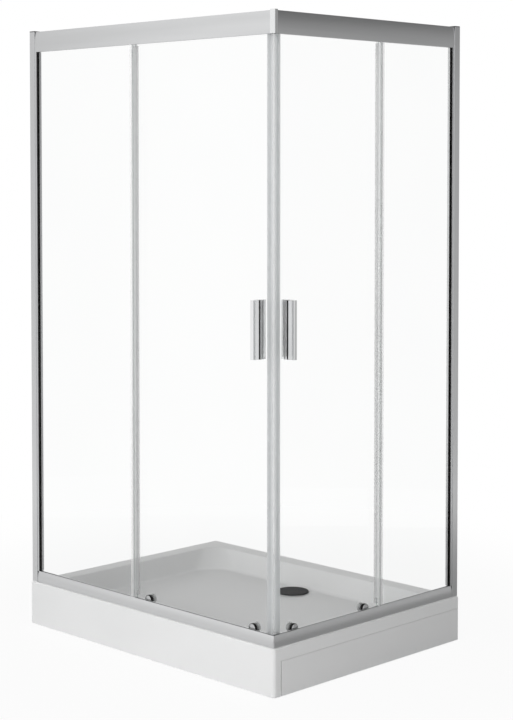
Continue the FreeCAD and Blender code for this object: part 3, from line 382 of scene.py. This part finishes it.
def translucent(name, dark, light, cover, grain):
    """Translucent plastic, with fine lines or flecks and a range of cover for each surface."""
    made, tree, shader = new_material(name)
    lines = noise(tree, grain)
    paint(tree, shader, lines, (dark, light), SEAL_ROUGH)
    bump(tree, shader, lines, SEAL_RELIEF)
    through = tree.nodes.new("ShaderNodeBsdfTransparent")
    show(tree, mixed(tree, spread(tree, lines, cover), through.outputs["BSDF"], shader.outputs["BSDF"]))
    return made


def magnet_vinyl(name):
    """The doors' corner seal: milky vinyl that passes light, with a clearer line along its nose, where faces
    that look at the corner let more of the white background through as a painted highlight.
    """
    made, tree, shader = new_material(name)
    lines = noise(tree, SEAL_LINES)
    paint(tree, shader, lines, MAGNET_TONES, SEAL_ROUGH)
    bump(tree, shader, lines, SEAL_RELIEF)
    milk = tree.nodes.new("ShaderNodeBsdfTranslucent")
    tree.links.new(blend_colour(tree, lines, MILK_TONES), milk.inputs["Color"])
    milky = mixed(tree, MAGNET_MILK, shader.outputs["BSDF"], milk.outputs["BSDF"])
    through = tree.nodes.new("ShaderNodeBsdfTransparent")
    # Faces that look at the corner are made clearer so the white background shows through: a painted highlight
    # along the nose.
    cover = ranged(tree, along(tree, "Normal", CORNER_WARDS), PAINTED_HIGHLIGHT_NOSE, MAGNET_COVERS_WITH_PAINTED_HIGHLIGHT)
    show(tree, mixed(tree, cover, through.outputs["BSDF"], milky))
    return made


def seat_rubber(name, side):
    """Black rubber in front of a door's glass, and grey plastic behind it."""
    made = surface(name, **BLACK_RUBBER)
    tree = made.node_tree
    black = tree.nodes["Principled BSDF"]
    grey = tree.nodes.new("ShaderNodeBsdfPrincipled")
    paint(tree, grey, noise(tree, SEAT_GREY_FLECKS), SEAT_GREY_TONES, SEAT_GREY_ROUGH)
    low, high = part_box("door_glass_" + side)
    middle = ((low + high) / 2).dot(OUTWARD[side])
    in_front = worked(tree, "GREATER_THAN", along(tree, "Object", OUTWARD[side]), middle)
    show(tree, mixed(tree, in_front, grey.outputs["BSDF"], black.outputs["BSDF"]))
    return made


def drain_centre():
    low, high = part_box("drain_cover")
    return (low + high) / 2


FINISHES = {
    "acrylic": surface(
        "acrylic", (0.86, 0.865, 0.865), (0.89, 0.892, 0.892), (0.26, 0.34), patches=ACRYLIC_PATCHES,
        relief=ACRYLIC_RELIEF, shine=ACRYLIC_SHINE,
    ),
    "painted_steel": surface("painted_steel", (0.20, 0.205, 0.21), (0.24, 0.245, 0.25), (0.35, 0.5)),
    "zinc_steel": surface(
        "zinc_steel", (0.55, 0.56, 0.57), (0.66, 0.66, 0.65), (0.25, 0.4), metal=1.0, patches=(60, 60, 60),
    ),
    "black_plastic": surface("black_plastic", (0.018, 0.018, 0.019), (0.028, 0.028, 0.029), (0.4, 0.55)),
    "grey_plastic": surface("grey_plastic", (0.46, 0.47, 0.48), (0.52, 0.53, 0.54), (0.38, 0.5)),
    "drain_steel": surface("drain_steel", (0.62, 0.62, 0.62), (0.7, 0.7, 0.7), (0.18, 0.28), metal=1.0),
    "dark_chrome": ringed("dark_chrome", (0.042, 0.042, 0.043), (0.050, 0.050, 0.051), drain_centre()),
    "chrome": surface(
        "chrome", (0.78, 0.785, 0.79), (0.83, 0.835, 0.84), (0.1, 0.14), metal=1.0, grain=(2000, 2000, 40),
        relief=MIRROR_RELIEF,
    ),
    "clear_seal": translucent("clear_seal", (0.88, 0.885, 0.89), (0.93, 0.935, 0.94), (0.28, 0.34), SEAL_LINES),
    "black_rubber": surface("black_rubber", **BLACK_RUBBER),
    "white_nylon": translucent(
        "white_nylon", (0.66, 0.67, 0.67), (0.72, 0.73, 0.73), (0.4, 0.5), (500, 500, 500),
    ),
    "clear_plastic": translucent(
        "clear_plastic", (0.6, 0.61, 0.62), (0.68, 0.69, 0.7), (0.14, 0.22), (300, 300, 300),
    ),
}
RUNS = {0: aluminium(0), 1: aluminium(1), 2: aluminium(2)}
PANES = {side: clear_glass("clear_glass_" + side, OUTWARD[side]) for side in OUTWARD}
PANEL = surface(
    "acrylic_panel", (0.84, 0.845, 0.845), (0.87, 0.872, 0.872), (0.3, 0.38), patches=ACRYLIC_PATCHES,
    relief=PANEL_RELIEF, shine=ACRYLIC_SHINE,
)
MAGNET = magnet_vinyl("magnet_vinyl")
SEATS = {side: seat_rubber("seat_rubber_" + side, side) for side in OUTWARD}
# Chrome for the roller caps, painted darker than the other chrome: painted shade for the darker surroundings
# that the caps mirror.
SHADED_CAP_CHROME = surface(
    "shaded_cap_chrome", (0.46, 0.465, 0.47), (0.52, 0.525, 0.53), (0.12, 0.18), metal=1.0, grain=(2000, 2000, 2000),
    relief=MIRROR_RELIEF,
)


def longest_axis(node):
    low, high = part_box(node)
    size = high - low
    return max(range(3), key=lambda axis: size[axis])


def side_of(node):
    """The glazed side that a node's name ends with."""
    return node.split("_")[-1]


def finish_of(node):
    """The material of a node: its slot's finish, or the one that its own work asks for."""
    if node == "access_panel":
        return PANEL
    if node.startswith("magnet_seal"):
        return MAGNET
    if node.startswith("rubber_seats"):
        return SEATS[side_of(node)]
    if SLOT_OF[node] == "clear_glass":
        return PANES[side_of(node)]
    if SLOT_OF[node] == "satin_aluminium":
        return RUNS[longest_axis(node)]
    return FINISHES[SLOT_OF[node]]


for name, node in NODES.items():
    node.data.materials.clear()
    node.data.materials.append(finish_of(name))


# Rounded edges

def round_edges(node, width):
    """Rounds the sharp edges of a node a little, so that they catch the light."""
    weld = node.modifiers.new("weld", "WELD")
    weld.merge_threshold = WELD
    flatten = node.modifiers.new("flatten", "DECIMATE")
    flatten.decimate_type = "DISSOLVE"
    flatten.angle_limit = math.radians(FLAT_ANGLE)
    edge = node.modifiers.new("edge", "BEVEL")
    edge.width = width
    edge.segments = ROUND_SEGMENTS
    edge.limit_method = "ANGLE"
    edge.angle_limit = math.radians(EDGE_ANGLE)
    edge.harden_normals = True


ROUNDED = {
    "profile_caps": FINE_ROUND, "leg_nuts": NUT_ROUND, "leg_feet": NUT_ROUND, "frame_long_tubes": TUBE_ROUND,
    "frame_cross_tubes": TUBE_ROUND, "drain_trap": NUT_ROUND,
}
for name, node in NODES.items():
    for family, width in ROUNDED.items():
        if name.startswith(family):
            round_edges(node, width)


# Detail pieces

def solid_boxes(name):
    """The lowest and highest corners of each separate solid in a node."""
    mesh = bmesh.new()
    mesh.from_mesh(NODES[name].data)
    bmesh.ops.remove_doubles(mesh, verts=mesh.verts, dist=WELD)
    boxes = []
    seen = set()
    for first in mesh.verts:
        if first in seen:
            continue
        seen.add(first)
        found = [first]
        for vert in found:
            for edge in vert.link_edges:
                other = edge.other_vert(vert)
                if other not in seen:
                    seen.add(other)
                    found.append(other)
        places = [vert.co for vert in found]
        low = Vector([min(place[axis] for place in places) for axis in range(3)])
        high = Vector([max(place[axis] for place in places) for axis in range(3)])
        boxes.append((low, high))
    mesh.free()
    return boxes


def add_rings(mesh, rings):
    """Joins rings of points to a tube, with closed ends."""
    rows = [[mesh.verts.new(point) for point in ring] for ring in rings]
    count = len(rows[0])
    for one, two in zip(rows, rows[1:]):
        for i in range(count):
            mesh.faces.new((one[i], one[(i + 1) % count], two[(i + 1) % count], two[i]))
    mesh.faces.new(rows[0][::-1])
    mesh.faces.new(rows[-1])


def circle(centre, axis, radius, segments):
    """Points round an axis."""
    side = axis.orthogonal().normalized()
    other = axis.cross(side)
    points = []
    for i in range(segments):
        turn = 2 * math.pi * i / segments
        points.append(centre + radius * (math.cos(turn) * side + math.sin(turn) * other))
    return points


def finished(name, mesh, material, body, node=None):
    """An object from a mesh that rides on a body, and stands for a node if one is given."""
    bmesh.ops.recalc_face_normals(mesh, faces=mesh.faces)
    for face in mesh.faces:
        face.smooth = True
    for edge in mesh.edges:
        edge.smooth = edge.calc_face_angle(0.0) < math.radians(EDGE_ANGLE)
    data = bpy.data.meshes.new(name)
    mesh.to_mesh(data)
    mesh.free()
    data.materials.append(material)
    piece = bpy.data.objects.new(name, data)
    bpy.context.scene.collection.objects.link(piece)
    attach(piece, body)
    if node:
        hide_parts(node)


def cap_outline(radius, height):
    """Radius and depth from the back of a domed cap to the middle of its face."""
    dome = height - CAP_RIM
    sphere = (radius ** 2 + dome ** 2) / (2 * dome)
    outline = [(radius - CAP_EDGE, 0.0), (radius, CAP_EDGE), (radius, CAP_RIM - CAP_EDGE)]
    start = math.asin((radius - CAP_EDGE) / sphere)
    for step in range(CAP_RINGS):
        turn = start * (1 - step / CAP_RINGS)
        outline.append((sphere * math.sin(turn), height - sphere * (1 - math.cos(turn))))
    return outline


def make_roller_caps(side):
    """Smooth domes in place of the stepped ones."""
    node = "roller_caps_" + side
    outward = OUTWARD[side]
    mesh = bmesh.new()
    for low, high in solid_boxes(node):
        middle = (low + high) / 2
        size = high - low
        radius = size.z / 2
        height = abs(size.dot(outward))
        back = middle - outward * height / 2
        add_rings(mesh, [
            circle(back + outward * depth, outward, ring, CAP_SEGMENTS)
            for ring, depth in cap_outline(radius, height)
        ])
    finished("domed_" + node, mesh, SHADED_CAP_CHROME, "door_" + side, node)


def make_leg_rods():
    """Rods with a real thread in place of the plain ones."""
    mesh = bmesh.new()
    for low, high in solid_boxes("leg_rods"):
        radius = (high.x - low.x) / 2
        middle = (low + high) / 2
        row_height = THREAD_PITCH / THREAD_ROWS
        rows = int((high.z - low.z) / row_height)
        rings = []
        for row in range(rows + 1):
            z = low.z + (high.z - low.z) * row / rows
            ring = []
            for i in range(THREAD_SEGMENTS):
                share = i / THREAD_SEGMENTS
                wave = ((z - low.z) / THREAD_PITCH - share) % 1.0
                inset = THREAD_DEPTH * (1 - abs(2 * wave - 1))
                turn = 2 * math.pi * share
                reach = radius - inset
                ring.append(Vector((middle.x + reach * math.cos(turn), middle.y + reach * math.sin(turn), z)))
            rings.append(ring)
        add_rings(mesh, rings)
    finished("threaded_rods", mesh, FINISHES["zinc_steel"], "enclosure", "leg_rods")


def cross_turns():
    """Angles round a screw head, with one at each corner of its cross recess."""
    corner = math.atan2(CROSS_HALF_WIDTH, CROSS_REACH)
    half = QUARTER_TURN / 2
    turns = []
    for arm in range(4):
        for start, end in ((-half, -corner), (-corner, corner), (corner, half)):
            for step in range(SCREW_STEPS):
                turns.append(arm * QUARTER_TURN + start + (end - start) * step / SCREW_STEPS)
    return turns


def cross_edge(turn):
    """How far from the middle of a screw head its cross recess reaches at an angle."""
    half = QUARTER_TURN / 2
    lean = abs((turn + half) % QUARTER_TURN - half)
    to_end = CROSS_REACH / math.cos(lean)
    if to_end * math.sin(lean) <= CROSS_HALF_WIDTH:
        return to_end
    return CROSS_HALF_WIDTH / math.sin(lean)


def screw_outline(turn, radius, length):
    """Distance from the axis and depth below the crown, from a screw's tip over its head into the recess."""
    edge = cross_edge(turn)
    outline = [(radius / 2, length), (radius / 2, SCREW_HEAD), (radius, SCREW_HEAD)]
    for step in range(SCREW_RINGS + 1):
        reach = radius + (edge - radius) * step / SCREW_RINGS
        outline.append((reach, SCREW_CROWN * (reach / radius) ** 2))
    return outline + [(edge, CROSS_DEPTH)]


def make_frame_screws():
    """Crowned heads with a cross recess in place of the plain ones, and their shanks."""
    mesh = bmesh.new()
    for low, high in solid_boxes("frame_screws"):
        size = high - low
        inward = -OUTWARD["long"] if size.y > size.x else -OUTWARD["short"]
        length = abs(size.dot(inward))
        crown = (low + high) / 2 + inward * length / 2
        side = inward.cross(UP)
        columns = []
        for turn in cross_turns():
            away = math.cos(turn) * side + math.sin(turn) * UP
            columns.append([
                crown + away * reach - inward * depth
                for reach, depth in screw_outline(turn, size.z / 2, length)
            ])
        add_rings(mesh, list(zip(*columns)))
    finished("cross_head_screws", mesh, FINISHES["zinc_steel"], "enclosure", "frame_screws")


def make_trap_nut():
    """Grip ribs round the ring at the top of the trap."""
    low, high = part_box("drain_trap")
    radius = (high.x - low.x) / 2
    centre = drain_centre()
    top = high.z - NUT_RIB_MARGIN
    bottom = top - NUT_RIB_HEIGHT
    mesh = bmesh.new()
    for i in range(NUT_RIBS):
        turn = 2 * math.pi * i / NUT_RIBS
        out = Vector((math.cos(turn), math.sin(turn), 0))
        round_way = Vector((-math.sin(turn), math.cos(turn), 0))
        foot = Vector((centre.x, centre.y, 0)) + out * (radius - NUT_RIB_MARGIN)
        outline = []
        for step in range(NUT_RIB_STEPS + 1):
            lean = math.pi * step / NUT_RIB_STEPS
            across = foot - round_way * math.cos(lean) * NUT_RIB_WIDTH / 2
            outline.append(across + out * (NUT_RIB_MARGIN + NUT_RIB_DEPTH) * math.sin(lean))
        add_rings(mesh, [[point + UP * z for point in outline] for z in (bottom, top)])
    finished("trap_nut_ribs", mesh, FINISHES["grey_plastic"], "enclosure")


for side in OUTWARD:
    make_roller_caps(side)
make_leg_rods()
make_frame_screws()
make_trap_nut()


# Stage and light

def sheet(name, size):
    """A flat rectangle about the origin."""
    corners = [(x * size[0] / 2, y * size[1] / 2, 0.0) for x, y in ((-1, -1), (1, -1), (1, 1), (-1, 1))]
    mesh = bpy.data.meshes.new(name)
    mesh.from_pydata(corners, [], [(0, 1, 2, 3)])
    made = bpy.data.objects.new(name, mesh)
    bpy.context.scene.collection.objects.link(made)
    return made


def looked_at(tree):
    """1 where the camera, a mirror or something clear looks at a surface, and 0 where it only gives light."""
    path = tree.nodes.new("ShaderNodeLightPath")
    seen = path.outputs["Is Camera Ray"]
    for ray in ("Is Glossy Ray", "Is Transmission Ray"):
        seen = worked(tree, "MAXIMUM", seen, path.outputs[ray])
    return seen


def below_tray(tree):
    """How white the floor may look: little below the tray, where it keeps its shadow, and all outside."""
    apart = tree.nodes.new("ShaderNodeVectorMath")
    apart.operation = "ABSOLUTE"
    tree.links.new(place_of(tree), apart.inputs[0])
    past = tree.nodes.new("ShaderNodeVectorMath")
    past.operation = "SUBTRACT"
    past.inputs[1].default_value = CAD_BOX[1]
    tree.links.new(apart.outputs["Vector"], past.inputs[0])
    axes = split(tree, past.outputs["Vector"])
    outside = worked(tree, "MAXIMUM", axes["X"], axes["Y"])
    fade = (-BELOW_INSET - BELOW_FADE, -BELOW_INSET)
    return ranged(tree, outside, fade, (1 - BELOW_SHADOW_SHARE, 1.0), smooth=True)


def make_floor():
    """A pale floor that looks white, but for a share of the object's shadow."""
    made, tree, shader = new_material("pale_floor")
    tree.nodes.remove(shader)
    matt = tree.nodes.new("ShaderNodeBsdfDiffuse")
    tree.links.new(blend_colour(tree, noise(tree, FLOOR_PATCHES), FLOOR_TONES), matt.inputs["Color"])
    white = tree.nodes.new("ShaderNodeEmission")
    white.inputs["Strength"].default_value = 1.0
    reach = tree.nodes.new("ShaderNodeVectorMath")
    reach.operation = "LENGTH"
    tree.links.new(place_of(tree), reach.inputs[0])
    fade = ranged(tree, reach.outputs["Value"], FLOOR_FADE, (1 - FLOOR_SHADOW_SHARE, 1.0), smooth=True)
    clear = worked(tree, "MINIMUM", fade, below_tray(tree))
    seen = worked(tree, "MULTIPLY", clear, looked_at(tree))
    show(tree, mixed(tree, seen, matt.outputs["BSDF"], white.outputs["Emission"]))
    floor = sheet("floor", FLOOR_SIZE)
    floor.data.materials.append(made)


def make_surroundings():
    """White for what is seen, mirrored or seen through, and for the light a soft fall-off from side to side."""
    world = bpy.data.worlds.new("studio")
    world.use_nodes = True
    tree = world.node_tree
    ground = tree.nodes["Background"]
    towards = along(tree, "Generated", Vector(BRIGHT_SIDE).normalized())
    falloff = ranged(tree, towards, SURROUND_SPAN, SURROUND_SHARES, smooth=True)
    levels = tree.nodes.new("ShaderNodeValToRGB")
    levels.color_ramp.interpolation = "EASE"
    while len(levels.color_ramp.elements) < len(SURROUND_LEVELS):
        levels.color_ramp.elements.new(0.5)
    for stop, (height, share) in zip(levels.color_ramp.elements, SURROUND_LEVELS):
        stop.position = (height + 1) / 2
        stop.color = (share, share, share, 1.0)
    rise = ranged(tree, split(tree, place_of(tree, "Generated"))["Z"], (-1.0, 1.0), (0.0, 1.0))
    tree.links.new(rise, levels.inputs["Fac"])
    strength = tree.nodes.new("ShaderNodeMix")
    tree.links.new(looked_at(tree), strength.inputs["Factor"])
    tree.links.new(worked(tree, "MULTIPLY", falloff, levels.outputs["Color"]), strength.inputs["A"])
    strength.inputs["B"].default_value = 1.0
    tree.links.new(strength.outputs["Result"], ground.inputs["Strength"])
    ground.inputs["Color"].default_value = (1.0, 1.0, 1.0, 1.0)
    bpy.context.scene.world = world


def make_card(name, place, turn, size, axis, span, shades):
    """A grey card beside or below the object, paler at one end, which only mirrors show."""
    made, tree, shader = new_material(name)
    tree.nodes.remove(shader)
    grey = tree.nodes.new("ShaderNodeEmission")
    tree.links.new(ranged(tree, split(tree, place_of(tree))[axis], span, shades), grey.inputs["Strength"])
    show(tree, grey.outputs["Emission"])
    card = sheet(name, size)
    card.location = place
    card.rotation_euler = [math.radians(angle) for angle in turn]
    card.data.materials.append(made)
    card.visible_camera = False
    card.visible_diffuse = False
    card.visible_transmission = False
    card.visible_shadow = False


def make_softbox(name, place, size, power):
    """A rectangular lamp that faces the middle of the object and stays out of its mirrors."""
    lamp = bpy.data.lights.new(name, "AREA")
    lamp.shape = "RECTANGLE"
    lamp.size = size[0]
    lamp.size_y = size[1]
    lamp.energy = power
    softbox = bpy.data.objects.new(name, lamp)
    softbox.location = place
    middle = (CAD_BOX[0] + CAD_BOX[1]) / 2
    softbox.rotation_euler = (middle - Vector(place)).to_track_quat("-Z", "Y").to_euler()
    softbox.visible_glossy = False
    bpy.context.scene.collection.objects.link(softbox)


def make_camera():
    lens = bpy.data.cameras.new("camera")
    lens.lens = CAMERA_LENS
    lens.shift_y = CAMERA_SHIFT
    camera = bpy.data.objects.new("camera", lens)
    camera.location = CAMERA_PLACE
    camera.rotation_euler = (math.radians(90 + CAMERA_PITCH), 0.0, math.radians(CAMERA_TURN))
    bpy.context.scene.collection.objects.link(camera)
    bpy.context.scene.camera = camera


make_floor()
make_surroundings()
for name, values in CARDS.items():
    make_card(name, *values)
make_softbox("key", KEY_PLACE, KEY_SIZE, KEY_POWER)
make_softbox("fill", FILL_PLACE, FILL_SIZE, FILL_POWER)
make_camera()
bpy.context.scene.view_settings.view_transform = "Standard"
